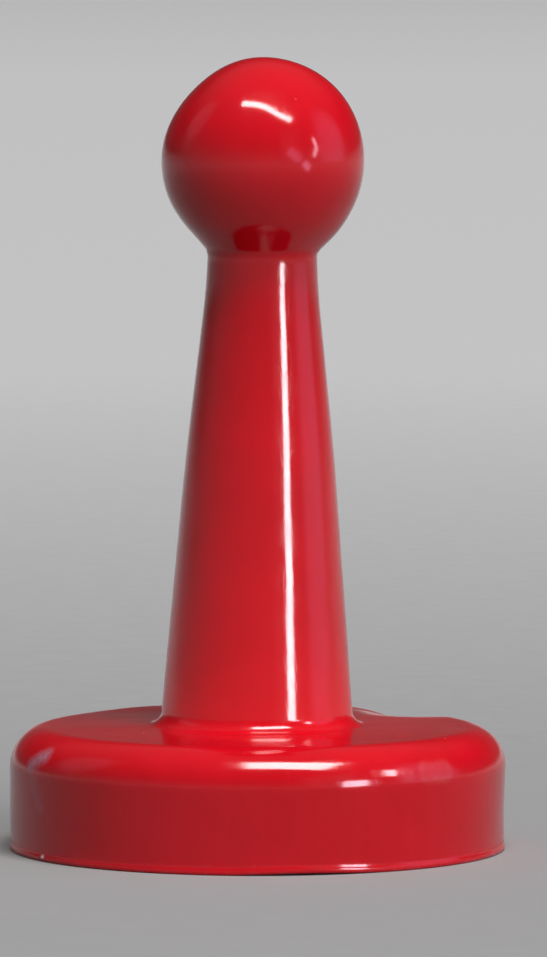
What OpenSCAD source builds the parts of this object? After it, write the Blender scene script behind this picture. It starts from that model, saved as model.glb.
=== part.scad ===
/* [Overall] */
// Height from the table to the top of the ball
total_h = 25.4; // [23:0.1:30]

/* [Ball head] */
// Diameter of the ball
ball_d = 6.54; // [5.8:0.02:7.4]
// Angle below the ball's middle at which its round side runs out into the straight throat
throat_angle = 45; // [38:1:52]

/* [Stem] */
// Diameter of the neck under the ball
neck_d = 3.54; // [3:0.02:4.2]
// Length of the neck that stays straight
neck_l = 0.8; // [0.3:0.1:2]
// Length over which the neck eases into the taper below it
neck_ease = 0.6; // [0.1:0.1:1.5]
// Diameter at the waist, where the steeper upper taper meets the slower lower one
waist_d = 4.8; // [4.4:0.02:5.4]
// Height of the waist above the table
waist_z = 12.9; // [10:0.1:14.5]
// Length over which the two tapers ease into each other, to each side of the waist
waist_ease = 2.5; // [0.5:0.1:4]
// Diameter of the stem at its foot, where it stands on the collar of the base
foot_d = 6.14; // [5.6:0.02:6.8]
// Diameter of the core at its open lower end
core_d = 2.2; // [1.4:0.1:2.8]
// Diameter of the core at its closed upper end
core_tip_d = 1.4; // [0.8:0.1:2]
// Height of the core's closed end above the table
core_z = 12; // [7:0.1:16]

/* [Base] */
// Widest diameter of the base, at its rounded shoulder
base_d = 16; // [14:0.1:20]
// Height of the flat top of the base above the table
base_h = 3.95; // [3.2:0.05:5]
// Radius of the rounded top edge
edge_r = 1.25; // [0.5:0.05:1.6]
// Amount by which the wall draws in from the shoulder to the bottom, on the radius
draft = 0.08; // [0:0.01:0.3]
// Radius of the concave fillet round the collar that carries the stem
collar_r = 0.45; // [0.2:0.05:1.2]
// Thickness of the side wall
wall_t = 1.2; // [0.8:0.05:1.6]
// Thickness of the top
top_t = 1.2; // [0.8:0.05:1.6]
// Thickness of the boss wall round the stem's tenon
boss_t = 1; // [0.6:0.05:1.6]

/* [Foot plate] */
// Height of the lip along the bottom edge
lip_t = 0.28; // [0.16:0.02:0.5]
// Amount by which the lip stands out from the wall above it
lip_out = 0.06; // [0.02:0.01:0.2]
// Radius of the lip's own rounded edges
lip_edge_r = 0.07; // [0.02:0.01:0.08]
// Thickness of the plate in the middle
plate_t = 0.9; // [0.7:0.05:1.3]
// Depth of the ring-shaped relief under the plate
relief_t = 0.25; // [0.1:0.05:0.4]
// Diameter of the flat pad inside the relief
pad_d = 5; // [3:0.1:7]
// Width of the rim that the token stands on, from the lip in to the relief
rim_w = 1.6; // [1:0.1:3]

/* [Joints] */
// Diameter of the spigot on top of the stem
spigot_d = 2; // [1.4:0.1:2.6]
// Length of the spigot
spigot_l = 2.2; // [1:0.1:3]
// Diameter of the tenon under the stem
tenon_d = 4; // [3.4:0.1:4.6]
// Clearance round the spigot, the tenon and the plate, on the radius
fit_gap = 0.02; // [0.01:0.01:0.06]
// Room left for glue above the spigot
glue_room = 0.15; // [0.05:0.05:0.4]

/* [Hidden] */
// How far a cut runs past the face that it opens
overrun = 1;
// Straight pieces in each eased bend of the stem
bend_steps = 14;
// Straight pieces in each quarter round of an outline
round_steps = 14;
// Slope of the throat, as a share of the ball's own slope where they meet
throat_slope_share = 0.9;
// How far the throat's hidden end reaches up inside the ball, as a share of the ball's radius
throat_tuck_share = 0.03;
token_red = [0.74, 0.05, 0.09];
$fn = 96;

// Ball: its middle, the ring where the throat starts, and the flat seat on the neck
ball_r = ball_d / 2;
neck_r = neck_d / 2;
ball_z = total_h - ball_r;
throat_r = ball_r * cos(throat_angle);
throat_z = ball_z - ball_r * sin(throat_angle);
throat_slope = tan(throat_angle) * throat_slope_share;
seat_z = throat_z - (throat_r - neck_r) / throat_slope;
throat_tuck = ball_r * throat_tuck_share;

// Stem: its shoulder on the collar and the corners of its outline
foot_r = foot_d / 2;
waist_r = waist_d / 2;
shoulder_z = base_h + collar_r;
neck_z = seat_z - neck_l;
upper_run = neck_z - waist_z;
lower_run = waist_z - shoulder_z;
neck_reach = min(neck_ease, neck_l, upper_run / 2);
waist_reach = min(waist_ease, upper_run / 2, lower_run / 2);

// Base: its radii at the shoulder, at the bottom of the wall and inside the wall
base_r = base_d / 2;
wall_r = base_r - draft;
hollow_r = wall_r - wall_t;
ceiling_z = base_h - top_t;
edge_z = base_h - edge_r;
bore_r = tenon_d / 2 + fit_gap;
boss_r = bore_r + boss_t;

// Foot plate: the lip and the step that centres the plate in the shell
lip_r = wall_r + lip_out;
step_r = hollow_r - fit_gap;

// The point at a distance from one point towards another
function toward(from, to, distance) = from + (to - from) / norm(to - from) * distance;

// A smooth bend round a corner, starting and ending at a reach from it
function bend(before, corner, after, reach) =
    let (start = toward(corner, before, reach), end = toward(corner, after, reach))
    [for (i = [0:bend_steps])
        let (t = i / bend_steps)
        start * (1 - t) ^ 2 + corner * 2 * t * (1 - t) + end * t ^ 2];

// An arc about a middle, from one angle to another
function arc(middle, radius, from_angle, to_angle) =
    [for (i = [0:round_steps])
        let (angle = from_angle + (to_angle - from_angle) * i / round_steps)
        middle + radius * [cos(angle), sin(angle)]];

// Outline of the stem's outer face, from its shoulder up to the ball's seat
stem_foot = [foot_r, shoulder_z];
stem_waist = [waist_r, waist_z];
stem_neck = [neck_r, neck_z];
stem_top = [neck_r, seat_z];
stem_outline = concat(
    [[0, shoulder_z], stem_foot],
    bend(stem_foot, stem_waist, stem_neck, waist_reach),
    bend(stem_waist, stem_neck, stem_top, neck_reach),
    neck_reach < neck_l ? [stem_top] : [],
    [[0, seat_z]]);

// Outline of the base's outer face, from the bottom of its wall to the top of its collar
shell_outline = concat(
    [[0, lip_t], [wall_r, lip_t]],
    arc([base_r - edge_r, edge_z], edge_r, 0, 90),
    arc([foot_r + collar_r, shoulder_z], collar_r, -90, -180),
    [[0, shoulder_z]]);

// Outline of the plate's lip, with both its edges rounded
lip_outline = concat(
    [[0, 0]],
    arc([lip_r - lip_edge_r, lip_edge_r], lip_edge_r, -90, 0),
    arc([lip_r - lip_edge_r, lip_t - lip_edge_r], lip_edge_r, 0, 90),
    [[0, lip_t]]);

// The ball, cut flat where it sits on the neck, with a blind socket for the spigot
module ball_head() {
    color(token_red)
    difference() {
        union() {
            translate([0, 0, ball_z]) sphere(r = ball_r);
            translate([0, 0, seat_z])
                cylinder(
                    r1 = neck_r,
                    r2 = throat_r + throat_slope * throat_tuck,
                    h = throat_z + throat_tuck - seat_z);
        }
        translate([0, 0, seat_z - ball_d]) cylinder(r = ball_d, h = ball_d);
        translate([0, 0, seat_z - overrun])
            cylinder(d = spigot_d + 2 * fit_gap, h = overrun + spigot_l + glue_room);
    }
}

// The tapered stem, with its spigot, its tenon and the core that runs up it from below
module stem() {
    color(token_red)
    difference() {
        union() {
            rotate_extrude() polygon(stem_outline);
            translate([0, 0, seat_z - overrun]) cylinder(d = spigot_d, h = overrun + spigot_l);
            translate([0, 0, plate_t])
                cylinder(d = tenon_d, h = shoulder_z - plate_t + overrun);
        }
        translate([0, 0, plate_t])
            cylinder(d1 = core_d, d2 = core_tip_d, h = core_z - plate_t);
        translate([0, 0, plate_t - overrun]) cylinder(d = core_d, h = overrun);
    }
}

// The disc of the base: a shell with a collar above and a boss inside
module base_shell() {
    color(token_red)
    difference() {
        rotate_extrude() polygon(shell_outline);
        translate([0, 0, lip_t - overrun])
            cylinder(r = hollow_r, h = plate_t - lip_t + overrun);
        difference() {
            translate([0, 0, plate_t]) cylinder(r = hollow_r, h = ceiling_z - plate_t);
            translate([0, 0, plate_t - overrun])
                cylinder(r = boss_r, h = ceiling_z - plate_t + 2 * overrun);
        }
        translate([0, 0, lip_t - overrun])
            cylinder(r = bore_r, h = shoulder_z - lip_t + 2 * overrun);
    }
}

// The plate that closes the base, stands on its rim and carries the lip
module foot_plate() {
    color(token_red)
    difference() {
        union() {
            rotate_extrude() polygon(lip_outline);
            cylinder(r = step_r, h = plate_t);
        }
        difference() {
            translate([0, 0, -overrun]) cylinder(r = lip_r - rim_w, h = overrun + relief_t);
            translate([0, 0, -2 * overrun]) cylinder(d = pad_d, h = 4 * overrun);
        }
    }
}

ball_head();
stem();
base_shell();
foot_plate();
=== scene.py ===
import bpy
import bmesh
import math
from mathutils import Matrix, Vector


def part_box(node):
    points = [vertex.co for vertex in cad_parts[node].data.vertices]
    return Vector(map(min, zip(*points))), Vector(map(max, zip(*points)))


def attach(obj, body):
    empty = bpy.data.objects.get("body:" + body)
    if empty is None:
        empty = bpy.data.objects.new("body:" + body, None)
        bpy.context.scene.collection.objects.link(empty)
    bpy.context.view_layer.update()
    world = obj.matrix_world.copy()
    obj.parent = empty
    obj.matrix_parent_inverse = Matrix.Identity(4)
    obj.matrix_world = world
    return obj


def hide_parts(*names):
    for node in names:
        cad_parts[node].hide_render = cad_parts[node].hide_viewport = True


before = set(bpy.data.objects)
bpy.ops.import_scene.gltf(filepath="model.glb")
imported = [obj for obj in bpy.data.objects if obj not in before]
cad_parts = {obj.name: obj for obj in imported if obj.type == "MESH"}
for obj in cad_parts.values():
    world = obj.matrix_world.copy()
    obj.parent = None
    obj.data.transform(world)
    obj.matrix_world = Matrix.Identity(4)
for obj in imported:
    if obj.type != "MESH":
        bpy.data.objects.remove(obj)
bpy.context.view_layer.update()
mm = 0.001
micrometre = 0.001 * mm
print("frame loaded:", ", ".join(sorted(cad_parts)))

ballLow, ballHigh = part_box("ball_head")
stemLow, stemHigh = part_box("stem")
shellLow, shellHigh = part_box("base_shell")
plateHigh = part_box("foot_plate")[1]


# camera, at the photograph's viewing angle

shot = {
    "distance": 300 * mm,
    "height": 4.25,  # degrees above the horizon
    "roll": 0.09,  # degrees
    "aim": Vector((0.521, 0, 11.91)) * mm,
    "pixelsPerMm": 31.16,
    "frame": (547, 957),  # pixels
    "sensor": 36,  # mm, on the longer side
    "clip": (0.1, 100),  # nearest and farthest view, in camera distances
}


def makeCamera():
    lens = shot["pixelsPerMm"] * shot["distance"] / mm * shot["sensor"] / max(shot["frame"])
    height = math.radians(shot["height"])
    towards = Vector((0, math.cos(height), -math.sin(height)))
    camera = bpy.data.objects.new("camera", bpy.data.cameras.new("camera"))
    bpy.context.scene.collection.objects.link(camera)
    camera.data.sensor_width = shot["sensor"]
    camera.data.lens = lens
    camera.data.clip_start, camera.data.clip_end = [shot["distance"] * share for share in shot["clip"]]
    turn = towards.to_track_quat("-Z", "Y").to_matrix().to_4x4()
    roll = Matrix.Rotation(math.radians(shot["roll"]), 4, "Z")
    place = Matrix.Translation(shot["aim"] - towards * shot["distance"])
    camera.matrix_world = place @ turn @ roll
    bpy.context.scene.camera = camera
    print("camera:", round(lens), "mm lens")


# selecting and shaping, shared by the pieces

around = 192  # faces round each piece
slack = {
    "height": 0.002 * mm,  # when a height is picked
    "radius": 0.01 * mm,  # when a wall of many faces is picked
    "cut": 0.001 * mm,  # beside the ball's cut
    "closest": 1.0001,  # share of the smallest distance that still counts as closest
}


def deselectAll():
    if bpy.context.mode != "OBJECT":
        bpy.ops.object.mode_set(mode="OBJECT")
    bpy.ops.object.select_all(action="DESELECT")


def startShaping(name):
    piece = bpy.context.object
    piece.name = piece.data.name = name
    bpy.ops.object.transform_apply(location=True, rotation=True, scale=True)
    bpy.ops.object.mode_set(mode="EDIT")
    return piece


def pick(piece, kind, test):
    # selects the vertices, edges or faces that pass a test of their places
    bpy.ops.mesh.select_mode(type=kind)
    bpy.ops.mesh.select_all(action="DESELECT")
    mesh = bmesh.from_edit_mesh(piece.data)
    for part in {"VERT": mesh.verts, "EDGE": mesh.edges, "FACE": mesh.faces}[kind]:
        part.select = all(test(vert.co) for vert in ([part] if kind == "VERT" else part.verts))
    mesh.select_flush_mode()
    bmesh.update_edit_mesh(piece.data)


def near(a, b, within=slack["height"]):
    return abs(a - b) < within


def fromAxis(co):
    return math.hypot(co.x, co.y)


def leanAt(z):
    # sideways shift of the stem and ball, as the moulding stands
    return math.tan(math.radians(stem["lean"])) * max(0, z - shellHigh.z)


def followPath(path, start, leaning=False):
    # draws the picked ring or face from height to height, scaled to each radius
    level, size = start
    for nextLevel, nextSize in path:
        oldX, newX = (leanAt(level), leanAt(nextLevel)) if leaning else (0, 0)
        bpy.ops.mesh.extrude_region_move(
            TRANSFORM_OT_translate={"value": (newX - oldX, 0, nextLevel - level)})
        factor = nextSize / size
        bpy.ops.transform.resize(value=(factor, factor, 1), center_override=(newX, 0, nextLevel))
        level, size = nextLevel, nextSize


def arcPath(middleZ, middleR, radius, fromAngle, toAngle, steps):
    # angles in degrees, 0 outwards and 90 upwards
    path = []
    for step in range(1, steps + 1):
        angle = math.radians(fromAngle + (toAngle - fromAngle) * step / steps)
        path.append((middleZ + radius * math.sin(angle), middleR + radius * math.cos(angle)))
    return path


def linePath(fromPoint, toPoint, steps):
    return [(fromPoint[0] + (toPoint[0] - fromPoint[0]) * step / steps,
             fromPoint[1] + (toPoint[1] - fromPoint[1]) * step / steps)
            for step in range(1, steps + 1)]


def pressSkin(piece, at, push, reach):
    # moves the skin near a point, fading out over the reach
    mesh = bmesh.from_edit_mesh(piece.data)
    closest = min((vert.co - at).length for vert in mesh.verts) * slack["closest"]
    pick(piece, "VERT", lambda co: (co - at).length <= closest)
    bpy.ops.transform.translate(
        value=push, use_proportional_edit=True, use_proportional_connected=False,
        proportional_edit_falloff="SMOOTH", proportional_size=reach)


skin = {
    "waveSpan": 2.6 * mm,
    "waveHeight": 0.02 * mm,
    "waveLevel": 0.5,  # level of the texture that leaves the skin where it is
    "crispAngle": 30,  # degrees past which an edge stays crisp
}


def addWaves(piece):
    # slow unevenness of the moulded skin, one field through all the pieces so that joints stay shut
    texture = bpy.data.textures.get("skinWaves")
    if texture is None:
        texture = bpy.data.textures.new("skinWaves", "CLOUDS")
        texture.noise_scale = skin["waveSpan"]
        texture.noise_depth = 1
        texture.noise_basis = "IMPROVED_PERLIN"
        texture.cloud_type = "COLOR"
    displace = piece.modifiers.new("waves", "DISPLACE")
    displace.texture = texture
    displace.texture_coords = "LOCAL"
    displace.direction = "RGB_TO_XYZ"
    displace.strength = skin["waveHeight"]
    displace.mid_level = skin["waveLevel"]
    bpy.ops.object.modifier_apply(modifier=displace.name)


def finishPiece(piece, node, wavy=True):
    bpy.ops.object.mode_set(mode="OBJECT")
    if wavy:
        addWaves(piece)
    bpy.ops.object.shade_smooth_by_angle(angle=math.radians(skin["crispAngle"]))
    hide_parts(node)
    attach(piece, "root")
    print("modelled", piece.name, len(piece.data.polygons), "faces")
    deselectAll()
    return piece


# stem

stem = {
    "lean": 0.6,  # degrees
    "footRadius": 3.073 * mm,
    "waistRadius": 2.375 * mm,
    "waistZ": 12.9 * mm,
    "waistEase": 0.044 * mm,
    "neckRadius": 1.745 * mm,
    "neckZ": 18.415 * mm,
    "neckEase": 0.034 * mm,
    "neckTaper": 0.04,  # slope that the neck keeps
    "throatFillet": 0.45 * mm,  # where the neck flares into the ball's throat
    "throatSteps": 10,
    "rings": 96,
    "spigotRadius": 1.0 * mm,
    "tenonRadius": 2.0 * mm,
    "coreRadius": 1.1 * mm,
    "coreTipRadius": 0.7 * mm,
    "coreTop": 12 * mm,
}


def between(z, z0, r0, z1, r1):
    return r0 + (r1 - r0) * (z - z0) / (z1 - z0)


def stemRadius(z):
    # two tapers that ease into each other at the waist, then the straight neck
    lower = between(z, shellHigh.z, stem["footRadius"], stem["waistZ"], stem["waistRadius"])
    upper = between(z, stem["waistZ"], stem["waistRadius"], stem["neckZ"], stem["neckRadius"])
    taper = (lower + upper - math.hypot(lower - upper, stem["waistEase"])) / 2
    neck = stem["neckRadius"] + stem["neckTaper"] * (ballLow.z - z)
    return (taper + neck + math.hypot(taper - neck, stem["neckEase"])) / 2


def throatShape():
    # the straight throat under the ball, and the fillet between it and the neck
    tall, wide = ball["height"] / 2, ball["width"] / 2
    middleZ = ballHigh.z + ball["proud"] - tall
    angle = math.radians(ball["throatAngle"])
    upperZ, upperRadius = middleZ - tall * math.sin(angle), wide * math.cos(angle)
    neck = stemRadius(ballLow.z - stem["throatFillet"] / 2)
    slant = math.atan2(upperRadius - neck, upperZ - ballLow.z)  # from the upright
    reach = stem["throatFillet"] * math.tan(slant / 2)  # of the fillet, below the seat
    seatTurn = math.asin(reach / stem["throatFillet"])
    return {"middleZ": middleZ, "upperZ": upperZ, "upperRadius": upperRadius, "neck": neck,
            "slant": slant, "reach": reach, "seatTurn": seatTurn}


def throatRing(turn):
    # height and radius on the fillet, after a turn from the upright neck in radians
    throat, fillet = throatShape(), stem["throatFillet"]
    return (ballLow.z - throat["reach"] + fillet * math.sin(turn),
            throat["neck"] + fillet * (1 - math.cos(turn)))


def makeStem():
    footZ, topZ = shellHigh.z, ballLow.z
    tenon, core = stem["tenonRadius"], stem["coreRadius"]
    deselectAll()
    bpy.ops.mesh.primitive_cylinder_add(
        vertices=around, radius=tenon, depth=footZ - stemLow.z,
        location=(0, 0, (footZ + stemLow.z) / 2))
    piece = startShaping("stemShaft")
    # shoulder, tapers and neck, then the spigot
    pick(piece, "FACE", lambda co: near(co.z, footZ))
    flareTurn, seatTurn = -math.atan(stem["neckTaper"]), throatShape()["seatTurn"]
    flareZ, rings, steps = throatRing(flareTurn)[0], stem["rings"], stem["throatSteps"]
    path = [(z, stemRadius(z)) for z in
            [footZ + (flareZ - footZ) * ring / rings for ring in range(rings + 1)]]
    path += [throatRing(flareTurn + (seatTurn - flareTurn) * step / steps)
             for step in range(1, steps + 1)]
    path += [(topZ, stem["spigotRadius"]), (stemHigh.z, stem["spigotRadius"])]
    followPath(path, (footZ, tenon), leaning=True)
    # core that runs up from the tenon's end
    pick(piece, "FACE", lambda co: near(co.z, stemLow.z))
    followPath([(stemLow.z, core), (stem["coreTop"], stem["coreTipRadius"])],
               (stemLow.z, tenon), leaning=True)
    return finishPiece(piece, "stem")


# ball head

ball = {
    "width": 6.5 * mm,
    "height": 6.62 * mm,
    "proud": 0.03 * mm,  # how far the crown stands above the CAD's
    "rings": 128,
    "throatAngle": 45,  # degrees below the middle
    "throatSteps": 10,
    "filletSteps": 10,
    "socketRadius": 1.02 * mm,
    "socketDepth": 2.35 * mm,
    "socketPinch": 100,  # how many times its end shrinks before it is merged shut
    "presses": [  # direction from the middle, depth, reach
        ((-0.72, -0.1, 0.69), 0.12 * mm, 2.6 * mm),
        ((0.75, -0.1, 0.66), -0.03 * mm, 2.4 * mm),
        ((0.66, -0.1, -0.75), -0.05 * mm, 1.3 * mm),
        ((-0.75, -0.1, -0.66), 0.04 * mm, 1.5 * mm),
    ],
}


def makeBall():
    seatZ = ballLow.z
    tall, wide = ball["height"] / 2, ball["width"] / 2
    throat = throatShape()
    throatZ, throatRadius = throat["upperZ"], throat["upperRadius"]
    slant, seatTurn = throat["slant"], throat["seatTurn"]
    centre = Vector((leanAt(throatZ), 0, throat["middleZ"]))
    deselectAll()
    bpy.ops.mesh.primitive_uv_sphere_add(
        segments=around, ring_count=ball["rings"], radius=wide, location=centre)
    piece = startShaping("ballHead")
    bpy.ops.mesh.select_all(action="SELECT")
    bpy.ops.transform.resize(value=(1, 1, tall / wide), center_override=centre)
    bpy.ops.mesh.select_all(action="SELECT")
    bpy.ops.mesh.bisect(
        plane_co=(0, 0, throatZ), plane_no=(0, 0, 1), clear_inner=True, threshold=slack["cut"])
    pick(piece, "EDGE", lambda co: near(co.z, throatZ))
    # straight throat, the small fillet under it, the seat, and the socket for the spigot
    steps = ball["filletSteps"]
    bend = [throatRing(slant + (seatTurn - slant) * step / steps) for step in range(steps + 1)]
    path = linePath((throatZ, throatRadius), bend[0], ball["throatSteps"]) + bend[1:]
    socket, socketTop = ball["socketRadius"], seatZ + ball["socketDepth"]
    path += [(seatZ, socket), (socketTop, socket), (socketTop, socket / ball["socketPinch"])]
    followPath(path, (throatZ, throatRadius), leaning=True)
    bpy.ops.mesh.merge(type="COLLAPSE")
    for towards, depth, reach in ball["presses"]:
        out = Vector(towards).normalized()
        pressSkin(piece, centre + out * wide, -out * depth, reach)
    bpy.ops.mesh.select_all(action="SELECT")
    bpy.ops.mesh.normals_make_consistent(inside=False)
    return finishPiece(piece, "ball_head")


# base

base = {
    "radius": 8.0 * mm,
    "draft": 0.08 * mm,
    "edgeRadius": 1.25 * mm,
    "edgeSteps": 20,
    "wallRings": 14,
    "topRings": 14,
    "collarRadius": 0.45 * mm,
    "collarSteps": 14,
    "crown": 0.05 * mm,  # how far the top rises from its rim to the collar
    "wall": 1.2 * mm,
    "top": 1.2 * mm,
    "boreRadius": 2.02 * mm,
    "bossRadius": 3.02 * mm,
    "presses": [  # place, push, reach
        ((4.95, 5.7, 3.8), (-0.03, -0.04, -0.22), 2.1 * mm),
        ((5.15, 4.4, 3.95), (0, 0, -0.13), 2.0 * mm),
        ((-3.9, 6.6, 3.8), (0, 0, 0.05), 3.0 * mm),
        ((7.92, -0.6, 0.28), (0.035, 0, 0), 1.2 * mm),
        ((-7.85, 0, 3.2), (0.06, 0, -0.02), 2.6 * mm),
    ],
}


def makeBase():
    lowZ, collarZ = shellLow.z, shellHigh.z
    topZ = collarZ - base["collarRadius"]
    radius, edge, collar = base["radius"], base["edgeRadius"], base["collarRadius"]
    crown = base["crown"]
    collarTurn = math.asin(crown / collar)
    wallRadius, edgeZ = radius - base["draft"], topZ - edge
    neck = stemRadius(collarZ)
    bore, boss = base["boreRadius"], base["bossRadius"]
    hollow, ceilingZ = wallRadius - base["wall"], topZ - base["top"]
    firstZ = lowZ + (edgeZ - lowZ) / base["wallRings"]
    deselectAll()
    bpy.ops.mesh.primitive_cylinder_add(
        vertices=around, radius=wallRadius, depth=firstZ - lowZ,
        location=(0, 0, (firstZ + lowZ) / 2))
    piece = startShaping("baseShell")
    # drafted wall, rounded edge, flat top, fillet and collar
    pick(piece, "FACE", lambda co: near(co.z, firstZ))
    path = linePath((firstZ, wallRadius), (edgeZ, radius), base["wallRings"] - 1)
    path += arcPath(edgeZ, radius - edge, edge, 0, 90, base["edgeSteps"])
    middle = neck + collar * math.cos(collarTurn)
    path += linePath((topZ, radius - edge), (topZ + crown, middle), base["topRings"])
    path += arcPath(collarZ + crown, middle, collar, 270, 180 + math.degrees(collarTurn),
                    base["collarSteps"])
    path += [(collarZ, bore)]
    followPath(path, (firstZ, wallRadius))
    # hollow from below, with the boss for the stem's tenon
    pick(piece, "FACE", lambda co: near(co.z, lowZ))
    followPath([(lowZ, hollow), (ceilingZ, hollow), (ceilingZ, boss), (plateHigh.z, boss),
                (plateHigh.z, bore)], (lowZ, wallRadius))
    # bore through
    pick(piece, "FACE", lambda co: near(fromAxis(co), bore, slack["radius"]))
    bpy.ops.mesh.bridge_edge_loops()
    for at, push, reach in base["presses"]:
        pressSkin(piece, Vector(at) * mm, Vector(push) * mm, reach)
    return finishPiece(piece, "base_shell")


# foot plate

plate = {
    "lipRadius": 7.95 * mm,
    "lipEdge": 0.07 * mm,
    "lipTopRadius": 7.925 * mm,
    "edgeSteps": 4,
    "stepRadius": 6.7 * mm,
    "rim": 1.6 * mm,
    "relief": 0.25 * mm,
    "padRadius": 2.5 * mm,
    "presses": [  # place, push, reach
        ((1.6, -7.9, 0), (0, 0, 0.06), 3.0 * mm),
        ((7.95, -0.6, 0.14), (0.035, 0, 0), 1.6 * mm),
    ],
}


def makePlate():
    lipZ, lip, edge = shellLow.z, plate["lipRadius"], plate["lipEdge"]
    relief, steps, easeZ = plate["relief"], plate["edgeSteps"], 2 * edge
    deselectAll()
    bpy.ops.mesh.primitive_cylinder_add(
        vertices=around, radius=lip, depth=easeZ - edge, location=(0, 0, (easeZ + edge) / 2))
    piece = startShaping("footPlate")
    pick(piece, "FACE", lambda co: near(co.z, easeZ))
    # the lip eases into the wall above it
    path = [(easeZ + (lipZ - easeZ) * step / steps,
             lip - (lip - plate["lipTopRadius"]) * math.sin(math.pi / 2 * step / steps))
            for step in range(1, steps + 1)]
    path += [(lipZ, plate["stepRadius"]), (plateHigh.z, plate["stepRadius"])]
    followPath(path, (easeZ, lip))
    # rim that it stands on, and the relief round the middle pad
    pick(piece, "FACE", lambda co: near(co.z, edge))
    path = arcPath(edge, lip - edge, edge, 0, -90, steps)
    path += [(0, lip - plate["rim"]), (relief, lip - plate["rim"]),
             (relief, plate["padRadius"]), (0, plate["padRadius"])]
    followPath(path, (edge, lip))
    for at, push, reach in plate["presses"]:
        pressSkin(piece, Vector(at) * mm, Vector(push) * mm, reach)
    return finishPiece(piece, "foot_plate", wavy=False)


makeCamera()
pieces = [makeStem(), makeBall(), makeBase(), makePlate()]


# shader maths as Python expressions

class Wire:
    # wraps a node's output, so that sums and products of wires add their own nodes
    def __init__(self, tree, socket):
        self.tree, self.socket = tree, socket

    def make(self, kind, settings=None, inputs=None, output=0):
        return makeNode(self.tree, kind, settings, inputs, output)

    def combine(self, operation, first, second):
        kind = "ShaderNodeVectorMath" if self.socket.type == "VECTOR" else "ShaderNodeMath"
        return self.make(kind, {"operation": operation}, {0: first, 1: second})

    def __add__(self, other):
        return self.combine("ADD", self, other)

    def __radd__(self, other):
        return self.combine("ADD", other, self)

    def __sub__(self, other):
        return self.combine("SUBTRACT", self, other)

    def __rsub__(self, other):
        return self.combine("SUBTRACT", other, self)

    def __mul__(self, other):
        return self.combine("MULTIPLY", self, other)

    def __truediv__(self, other):
        return self.combine("DIVIDE", self, other)

    def __pow__(self, other):
        return self.combine("POWER", self, other)

    def least(self, other):
        return self.combine("MINIMUM", self, other)

    def most(self, other):
        return self.combine("MAXIMUM", self, other)

    def distanceTo(self, point):
        return self.make("ShaderNodeVectorMath", {"operation": "DISTANCE"},
                         {0: self, 1: point}, "Value")

    def rise(self, fromValue, toValue):
        # smooth step from 0 to 1 as the value goes from one number to the other
        return self.make("ShaderNodeMapRange", {"interpolation_type": "SMOOTHSTEP"}, {
            "Value": self, "From Min": fromValue, "From Max": toValue})

    def tint(self, colour, amount):
        # mixes this colour towards another
        return mixColours(self.tree, self, colour, amount)

    def greys(self, stops):
        # turns the value into a grey, read off between stops of (value, grey)
        ramp = self.make("ShaderNodeValToRGB", None, {"Fac": self})
        elements = ramp.socket.node.color_ramp.elements
        while len(elements) < len(stops):
            elements.new(0.5)
        for element, (position, grey) in zip(elements, stops):
            element.position, element.color = position, (grey, grey, grey, 1)
        return ramp


def makeNode(tree, kind, settings=None, inputs=None, output=0):
    # adds a node: its settings first, then the values or wires of its sockets
    node = tree.nodes.new(kind)
    for name, value in (settings or {}).items():
        setattr(node, name, value)
    feed(node, inputs or {})
    return Wire(tree, node.outputs[output])


def feed(node, values):
    for name, value in values.items():
        socket = node.inputs[name]
        if isinstance(value, Wire):
            value.tree.links.new(value.socket, socket)
        elif socket.type == "RGBA":
            socket.default_value = (*value[:3], 1)
        else:
            socket.default_value = value


def mixColours(tree, first, second, amount):
    # the mix node's colours are its inputs 6 and 7 and its output 2
    return makeNode(tree, "ShaderNodeMix", {"data_type": "RGBA"},
                    {0: amount, 6: first, 7: second}, 2)


def startMaterial(name):
    material = bpy.data.materials.new(name)
    material.use_nodes = True
    tree = material.node_tree
    return material, tree, tree.nodes["Principled BSDF"]


# glossy red plastic of the moulding

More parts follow.
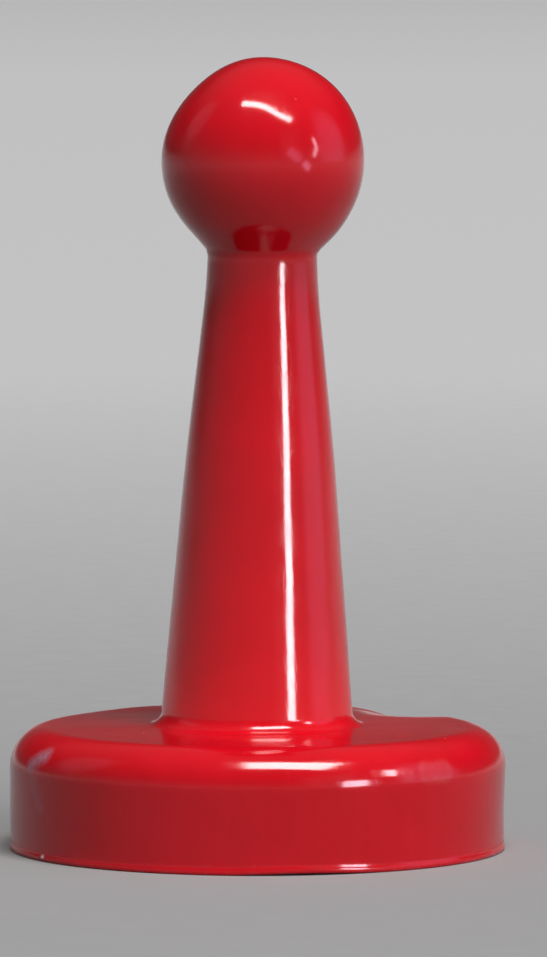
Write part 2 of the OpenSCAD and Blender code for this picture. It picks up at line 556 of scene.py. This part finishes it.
plastic = {
    "red": (0.66, 0.0032, 0.0125),
    "deepRed": (0.56, 0.0015, 0.007),
    "dust": (0.62, 0.46, 0.47),
    "scuff": (0.4, 0.27, 0.36),
    # near-white for pale marks, also used for painted glints and a painted highlight line
    "paleMarkAndGlint": (0.9, 0.8, 0.86),
    "gloss": 0.085,  # roughness where it is clean
    "roughest": 0.7,
    "index": 1.45,
    # feature size, detail and roughness of each noise
    "noises": {
        "mottle": (3.2 * mm, 3, 0.5),
        "flow": (0.55 * mm, 2, 0.5),
        "cloud": (0.9 * mm, 3, 0.5),
        "hairLines": (0.16 * mm, 0, 0.5),
        "hairParts": (1.3 * mm, 1, 0.5),
        "scuffStreaks": (0.12 * mm, 3, 0.6),
        "grease": (0.4 * mm, 2, 0.5),
        "chips": (0.5 * mm, 4, 0.65),
        "ragged": (0.35 * mm, 4, 0.7),
        "peel": (0.7 * mm, 1, 0.5),
        "finePeel": (0.22 * mm, 1, 0.5),
    },
    # levels of a noise between which its patches set in
    "levels": {
        "mottle": (0.35, 0.7),
        "flow": (0.4, 0.75),
        "cloud": (0.3, 0.75),
        "hairParts": (0.56, 0.66),
        "scuffStreaks": (0.25, 0.7),
        "grease": (0.3, 0.7),
        "chips": (0.5, 0.62),
    },
    # width of a mark as a share of its length
    "flowShare": 0.09,
    "hairShare": 0.05,
    "scuffShare": 0.5,
    "scuffTurn": (0.0, 0.5, 0.3),
    "speckEdge": (0.02, 0.08),  # in shares of the distance between specks
    "speckChance": (0.94, 0.97),  # the higher, the fewer specks
    # turn and shift of each set of hairlines
    "hairs": (((0.3, 0.2, 0.5), 0.0), ((1.1, -0.5, 0.1), 3.7 * mm), ((-0.7, 0.9, 2.0), 9.1 * mm)),
    "hairThin": 900,  # the larger, the finer the hairlines
    "hairEdge": 0.35,
    "strokeEdge": 1.1,  # where a stroke has faded out, in shares of its radius
    # how far the edges of strokes wander, in the same shares
    "scuffRagged": 0.54,
    "smudgeRagged": 0.27,
    "scuffFill": (0.6, 0.4),  # how full a scuff is everywhere, and what its streaks add
    "wearEdge": (0.12, -0.02),  # from its upper edge to where it is full, in mm
    "chipRise": 0.1,  # how much lower its edge lies at a chip, in mm
    # how strongly each one shows in the colour
    "mottleShows": 0.55,
    "flowShows": 0.18,
    "dustShows": 0.35,
    "scuffShows": 0.72,
    "smudgeShows": 0.025,
    "smudgeRim": (0.02, 0.04),  # clean and greasy
    "wearShows": 0.12,
    # and how much it adds to the roughness
    "cloudDulls": 0.05,
    "hairDulls": 0.12,
    "dustDulls": 0.4,
    "scuffDulls": 0.25,
    "smudgeDulls": (0.05, 0.07),  # clean and greasy
    "wearDulls": 0.12,
    # relief in micrometres
    "hairDepth": 0.22,
    "dustHeight": 2.0,
}


def noise(place, name):
    size, detail, roughness = plastic["noises"][name]
    return place.make("ShaderNodeTexNoise", None, {
        "Vector": place, "Scale": 1 / size, "Detail": detail, "Roughness": roughness}, "Fac")


def patches(place, name):
    # the noise's higher parts, with soft edges
    return noise(place, name).rise(*plastic["levels"][name])


def drawnOut(place, share, turn=(0, 0, 0)):
    # place squeezed along one direction, so that a noise there runs long
    return place.make("ShaderNodeMapping", None, {
        "Vector": place, "Rotation": turn, "Scale": (1, 1, share)})


def hairlines(place):
    # fine scratches in three directions, each broken along its length
    hair = None
    for turn, shift in plastic["hairs"]:
        along = drawnOut(place, plastic["hairShare"], turn) + (shift, 0, 0)
        offLine = noise(along, "hairLines") - 0.5
        thin = 1 - (offLine * offLine * plastic["hairThin"]).rise(0.0, plastic["hairEdge"])
        lines = thin * patches(place + (0, shift, 0), "hairParts")
        hair = lines if hair is None else hair.most(lines)
    return hair


def dustSpecks(place, gap):
    # small specks, only in some of the cells
    cells = {"Vector": place, "Scale": 1 / gap}
    centre = place.make("ShaderNodeTexVoronoi", {"feature": "F1"}, cells, "Distance")
    chance = place.make("ShaderNodeTexVoronoi", {"feature": "F1"}, cells, "Color")
    chosen = place.make("ShaderNodeSeparateColor", None, {"Color": chance}, "Red")
    return (1 - centre.rise(*plastic["speckEdge"])) * chosen.rise(*plastic["speckChance"])


def wander(place, amount):
    # uneven shift of a stroke's edge
    return (noise(place, "ragged") - 0.5) * amount


def strokeMask(place, strokes, shift=0.0):
    # soft strokes between pairs of points, as wide as their radius and the shift of their edges
    mask = None
    for start, end, radius, strength in strokes:
        start, along = Vector(start) * mm, (Vector(end) - Vector(start)) * mm
        way = place - start
        run = place.make("ShaderNodeVectorMath", {"operation": "DOT_PRODUCT"},
                         {0: way, 1: along / along.length_squared}, "Value").most(0).least(1)
        closest = place.make("ShaderNodeVectorMath", {"operation": "SCALE"},
                             {0: along, "Scale": run})
        away = way.distanceTo(closest) / (radius * mm) + shift
        stroke = away.rise(plastic["strokeEdge"], 0.0) * strength
        mask = stroke if mask is None else mask.most(stroke)
    return mask


def makeRed(name, look):
    material, tree, shader = startMaterial(name)
    place = makeNode(tree, "ShaderNodeTexCoord", output="Object")
    # colour: slow mottling, flow marks up the moulding, then dust and marks on top
    mottle = patches(place, "mottle")
    flow = patches(drawnOut(place, plastic["flowShare"]), "flow")
    colour = mixColours(tree, plastic["red"], plastic["deepRed"],
                        mottle * plastic["mottleShows"] + flow * plastic["flowShows"])
    hair, speck = hairlines(place), dustSpecks(place, look["dustGap"] * mm)
    colour = colour.tint(plastic["dust"], speck * plastic["dustShows"])
    rough = (plastic["gloss"] + patches(place, "cloud") * plastic["cloudDulls"]
             + hair * plastic["hairDulls"] + speck * plastic["dustDulls"])
    if look["scuffs"]:
        rubbed = drawnOut(place, plastic["scuffShare"], plastic["scuffTurn"])
        everywhere, inStreaks = plastic["scuffFill"]
        fill = everywhere + patches(rubbed, "scuffStreaks") * inStreaks
        scuff = strokeMask(place, look["scuffs"], wander(place, plastic["scuffRagged"])) * fill
        colour = colour.tint(plastic["scuff"], scuff * plastic["scuffShows"])
        rough = rough + scuff * plastic["scuffDulls"]
    if look["smudges"]:
        grease = patches(place, "grease")
        (plainRim, greasyRim), (plainDull, greasyDull) = plastic["smudgeRim"], plastic["smudgeDulls"]
        smudge = strokeMask(place, look["smudges"], wander(place, plastic["smudgeRagged"]))
        ring = (smudge * (1 - smudge) * 4) ** 2  # strongest half way out
        rough = rough + smudge * (plainDull + grease * greasyDull)
        colour = colour.tint(plastic["dust"], smudge * plastic["smudgeShows"]
                             + ring * (plainRim + grease * greasyRim))
    # pale marks laid on the colour; the white dot on the foot plate's lip and the thin line down the
    # stem are painted highlights
    if look["paleMarksAndGlints"]:
        colour = colour.tint(plastic["paleMarkAndGlint"], strokeMask(place, look["paleMarksAndGlints"]))
    if look["edgeWear"]:
        height = place.make("ShaderNodeSeparateXYZ", None, {0: place}, "Z")
        chip = patches(place, "chips")
        upper, full = [look["edgeWear"] + shift for shift in plastic["wearEdge"]]
        worn = (height / mm + chip * plastic["chipRise"]).rise(upper, full)
        colour = colour.tint(plastic["scuff"], worn * chip * plastic["wearShows"])
        rough = rough + worn * plastic["wearDulls"]

    # relief: gentle orange peel, the hairlines, and the specks standing proud
    peel = noise(place, "peel") + noise(place, "finePeel") * look["fine"]
    relief = peel * look["peel"] - hair * plastic["hairDepth"] + speck * plastic["dustHeight"]
    bump = place.make("ShaderNodeBump", None, {
        "Strength": 1.0, "Distance": micrometre, "Height": relief})
    feed(shader, {"Base Color": colour, "Roughness": rough.least(plastic["roughest"]),
                  "Normal": bump, "IOR": plastic["index"]})
    return material


finishes = {
    # dustGap in mm, peel in micrometres, fine as a share of it, edgeWear as a height in mm;
    # marks as (start, end, radius, strength), their places and radii in mm
    "ballHead": {"dustGap": 0.62, "peel": 2.2, "fine": 0.12, "edgeWear": 0,
                 "scuffs": [], "smudges": [], "paleMarksAndGlints": []},
    "stemShaft": {"dustGap": 0.7, "peel": 2.6, "fine": 0.3, "edgeWear": 0,
                  "scuffs": [], "smudges": [],
                  # a thin pale line right of the stem's front, a painted highlight, and a small pale
                  # spot lower on its front
                  "paleMarksAndGlints": [((1.37, -1.57, 16.39), (1.43, -1.99, 12.87), 0.022, 0.25),
                             ((0.14, -2.86, 7.8), (0.18, -2.86, 7.66), 0.035, 0.4)]},
    "baseShell": {
        "dustGap": 0.6, "peel": 2.2, "fine": 0.16, "edgeWear": 0.3,
        "scuffs": [((-7.15, -3.43, 2.98), (-6.68, -3.98, 3.36), 0.42, 1.0),
                   ((-7.06, -3.66, 2.45), (-6.89, -3.96, 1.75), 0.42, 0.3)],
        "smudges": [((5.4, -5.84, 3.06), (5.95, -5.26, 3.04), 0.5, 0.9),
                    ((4.7, -6.4, 3.0), (4.86, -6.29, 3.0), 0.34, 0.35)],
        "paleMarksAndGlints": []},
    "footPlate": {"dustGap": 0.5, "peel": 3.0, "fine": 0.12, "edgeWear": 0.1,
                  "scuffs": [], "smudges": [],
                  # the white dot on the lip's left is a painted glint
                  "paleMarksAndGlints": [((-6.83, -4.08, 0.16), (-6.79, -4.15, 0.17), 0.09, 1.0)]},
}


# stage and light

studio = {
    "floorSize": 8.0,  # metres
    "grainScale": 700.0,
    "grain": 0.01,  # how far the grain shifts the ramp
    "floorRoughness": 0.9,
    "floorShine": 0.2,
    # share of the way from the token to the floor's edge, and the grey there: darker close round the
    # token as painted shade, and dimmer towards the edge as painted falloff of the light
    "floor": [(0.006, 0.34), (0.06, 0.56), (0.2, 0.6), (0.5, 0.52), (0.9, 0.44)],
    "floorBounce": 0.05,  # the floor's grey where it only throws soft light back
    # sine of the height above the horizon, and the level there
    "sky": [(0.0, 0.5), (0.1, 0.36), (0.28, 0.18), (0.6, 0.15), (1.0, 0.24)],
    "behind": 0.78,  # how much dimmer it is on the far side
    "behindDepth": (-0.2, 0.7),  # it sets in from the first depth to the second,
    "behindRise": (-0.02, 0.08),  # from the first height to the second,
    "behindFall": (0.7, 0.4),  # and is gone again overhead
    "windowTall": 0.55,  # a window's width as a share of its height
    "windowCore": 0.45,  # share of its reach where it stays full
    # soft windows: direction as (azimuth, height) and reach in degrees, level, tint
    "windows": [((88, 12), 25, 0.8, (0.78, 0.58, 1)), ((-100, 32), 17, 0.3, (0.85, 0.8, 1))],
}


def fromToken(azimuth, height, distance):
    a, h = math.radians(azimuth), math.radians(height)
    return distance * Vector((math.sin(a) * math.cos(h), -math.cos(a) * math.cos(h), math.sin(h)))


def makeFloor():
    deselectAll()
    bpy.ops.mesh.primitive_plane_add(size=studio["floorSize"], location=(0, 0, 0))
    floor = bpy.context.object
    floor.name = "floor"
    material, tree, shader = startMaterial("floorPaper")
    place = makeNode(tree, "ShaderNodeTexCoord", output="Object")
    grain = makeNode(tree, "ShaderNodeTexNoise", None, {
        "Vector": place, "Scale": studio["grainScale"]}, "Fac")
    outwards = place.distanceTo((0, 0, 0)) / (studio["floorSize"] / 2)
    # the floor's greys, with painted shade round the token and painted falloff towards its edge
    paleWithPaintedShade = (outwards + (grain - 0.5) * studio["grain"]).greys(studio["floor"])
    # the eye, glossy and clear surfaces see the pale floor
    seen = None
    for ray in ("Is Camera Ray", "Is Glossy Ray", "Is Transmission Ray"):
        hit = makeNode(tree, "ShaderNodeLightPath", output=ray)
        seen = hit if seen is None else seen.most(hit)
    grey = studio["floorBounce"]
    paper = mixColours(tree, (grey, grey, grey), paleWithPaintedShade, seen)
    feed(shader, {"Base Color": paper, "Roughness": studio["floorRoughness"],
                  "Specular IOR Level": studio["floorShine"]})
    floor.data.materials.append(material)


def makeSky():
    world = bpy.data.worlds.new("studio")
    bpy.context.scene.world = world
    world.use_nodes = True
    tree = world.node_tree
    way = makeNode(tree, "ShaderNodeTexCoord", output="Generated")
    up = makeNode(tree, "ShaderNodeSeparateXYZ", None, {0: way}, "Z")
    far = makeNode(tree, "ShaderNodeSeparateXYZ", None, {0: way}, "Y")
    heights = up.rise(*studio["behindRise"]) * up.rise(*studio["behindFall"])
    dimming = 1 - far.rise(*studio["behindDepth"]) * heights * studio["behind"]
    light = makeNode(tree, "ShaderNodeVectorMath", {"operation": "SCALE"}, {
        0: up.greys(studio["sky"]), "Scale": dimming})
    for (azimuth, height), reach, level, tint in studio["windows"]:
        # taller than wide, and fading out at its edges
        squash = Vector((1, 1, studio["windowTall"]))
        tall = makeNode(tree, "ShaderNodeMapping", None, {"Vector": way, "Scale": squash})
        middle, edge = fromToken(azimuth, height, 1) * squash, math.radians(reach)
        glow = tall.distanceTo(middle).rise(edge, edge * studio["windowCore"])
        light = light + makeNode(tree, "ShaderNodeVectorMath", {"operation": "SCALE"}, {
            0: Vector(tint) * level, "Scale": glow})
    feed(tree.nodes["Background"], {"Color": light})


lamps = {
    "away": 6.0,  # metres from the piece, where a lamp doesn't say its own
    # places as (azimuth, height) in degrees seen from the piece, and sizes in the same degrees;
    # azimuth 0 is the camera's side and grows to the right
    "key": {"path": [(-16, 67), (62, 67)], "thick": 24, "glow": 12},
    "lowKey": {"path": [(34, 4), (34, 32)], "thick": 22, "glow": 7.4},
    "streak": {"path": [(-46, 63), (-2, 64.5), (26.5, 52), (43, 43.5)], "thick": 6.5,
               "glow": 28},
    "slit": {"path": [(63.5, 22), (65.9, 12.5), (60, 5)], "thick": 3.6, "glow": 10,
             "tint": (1, 0.85, 1)},
    "blotch": {"path": [(47, -1), (54, -7)], "thick": 7, "glow": 4.5, "tint": (1, 0.55, 0.88),
               "away": 0.12},
    "paleBlotch": {"path": [(30, 13), (44, 1)], "thick": 10, "glow": 1.8,
                   "tint": (1, 0.45, 0.88)},
    "strip": {"path": [(42.5, 16), (42.5, -6)], "thick": 9.5, "glow": 30, "tint": (1, 0.96, 1)},
    "bar": {"path": [(-11, 68.8), (53, 56.4)], "thick": 22, "glow": 24},
    "pane": {"path": [(47.5, 15), (46, -3)], "thick": 12.5, "glow": 22, "tint": (0.9, 0.84, 1)},
    "smallPane": {"path": [(72, 34.5), (66.5, 20)], "thick": 6, "glow": 22, "tint": (1, 0.92, 1)},
}


def makeLamp(name, look, centre=Vector(), shineOn=None):
    # a straight or bent tube; one that shines on given pieces only shows in their gloss
    away = look.get("away", lamps["away"])
    for start, end in zip(look["path"], look["path"][1:]):
        ends = [fromToken(*point, away) for point in (start, end)]
        place, along = (ends[0] + ends[1]) / 2, ends[1] - ends[0]
        light = bpy.data.lights.new(name, "AREA")
        light.shape = "RECTANGLE"
        light.size, light.size_y = along.length, math.radians(look["thick"]) * place.length
        light.energy = look["glow"] * light.size * light.size_y * math.pi
        light.color = look.get("tint", (1, 1, 1))
        lamp = bpy.data.objects.new(name, light)
        bpy.context.scene.collection.objects.link(lamp)
        back = place.normalized()
        across = (along - back * along.dot(back)).normalized()
        axes = Matrix((across, back.cross(across), back)).transposed().to_4x4()
        lamp.matrix_world = Matrix.Translation(centre + place) @ axes
        lamp.visible_camera = False
        if shineOn is None:
            lamp.visible_glossy = False
            continue
        lamp.visible_diffuse = False
        group = bpy.data.collections.new(name + "ShinesOn")
        for piece in shineOn:
            group.objects.link(piece)
        lamp.light_linking.receiver_collection = group


def makeLight():
    shaft, head, shell, foot = pieces
    headZ = (ballLow.z + ballHigh.z) / 2
    headCentre = Vector((leanAt(headZ), 0, headZ))
    for name in ("key", "lowKey"):
        makeLamp(name, lamps[name])
    for name in ("streak", "slit", "blotch", "paleBlotch"):
        makeLamp(name, lamps[name], headCentre, [head])
    makeLamp("strip", lamps["strip"], Vector(), [shaft])
    makeLamp("bar", lamps["bar"], Vector(), [shaft, shell, foot])
    for name in ("pane", "smallPane"):
        makeLamp(name, lamps[name], Vector(), [shell, foot])


for piece in pieces:
    piece.data.materials.clear()
    piece.data.materials.append(makeRed(piece.name + "Red", finishes[piece.name]))
print("painted", len(pieces), "pieces")

makeFloor()
makeSky()
makeLight()
print("lit with", len(bpy.data.lights), "lamps")
bpy.context.scene.view_settings.view_transform = "Standard"
